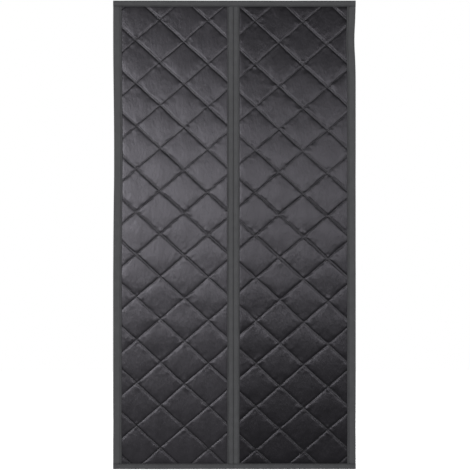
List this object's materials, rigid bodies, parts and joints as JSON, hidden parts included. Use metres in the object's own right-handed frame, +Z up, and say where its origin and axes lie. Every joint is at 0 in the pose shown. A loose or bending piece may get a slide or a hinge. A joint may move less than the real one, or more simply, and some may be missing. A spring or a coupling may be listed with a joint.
{
  "type": "magnetic thermal door curtain",
  "caption": "Quilted insulating door curtain whose leaves close along magnets in their meeting edges, bound all round and fixed by hook-and-loop tape.",
  "frame": {"origin": "middle of the header's adhesive hook tape, on the plane of the door frame that it is stuck to", "axes": "+X to the right across the doorway as seen from the front, +Z up, the quilted front faces -Y and the adhesive back faces +Y"},
  "size_m": [1.085, 0.0163, 2.1],
  "materials": {
    "face_cloth": "satin",
    "lining": "matte",
    "wadding": "matte",
    "binding": "matte",
    "loop_tape": "matte",
    "hook_tape": "matte",
    "magnet": "satin",
    "weight": "satin"
  },
  "bodies": {
    "root": {"header_binding": "binding", "side_binding_left": "binding", "side_binding_right": "binding", "meeting_binding_left": "binding", "meeting_binding_right": "binding", "hem_binding_left": "binding", "hem_binding_right": "binding", "face_cloth_left": "face_cloth", "face_cloth_right": "face_cloth", "wadding_left": "wadding", "wadding_right": "wadding", "lining_left": "lining", "lining_right": "lining", "loop_tape_header": "loop_tape", "loop_tape_left": "loop_tape", "loop_tape_right": "loop_tape", "hook_tape_header": "hook_tape", "hook_tape_left": "hook_tape", "hook_tape_right": "hook_tape", "hem_weight_left": "weight", "hem_weight_right": "weight", "magnet_left_01": "magnet", "magnet_left_02": "magnet", "magnet_left_03": "magnet", "magnet_left_04": "magnet", "magnet_left_05": "magnet", "magnet_left_06": "magnet", "magnet_left_07": "magnet", "magnet_left_08": "magnet", "magnet_left_09": "magnet", "magnet_left_10": "magnet", "magnet_left_11": "magnet", "magnet_left_12": "magnet", "magnet_right_01": "magnet", "magnet_right_02": "magnet", "magnet_right_03": "magnet", "magnet_right_04": "magnet", "magnet_right_05": "magnet", "magnet_right_06": "magnet", "magnet_right_07": "magnet", "magnet_right_08": "magnet", "magnet_right_09": "magnet", "magnet_right_10": "magnet", "magnet_right_11": "magnet", "magnet_right_12": "magnet"}
  },
  "joints": []
}
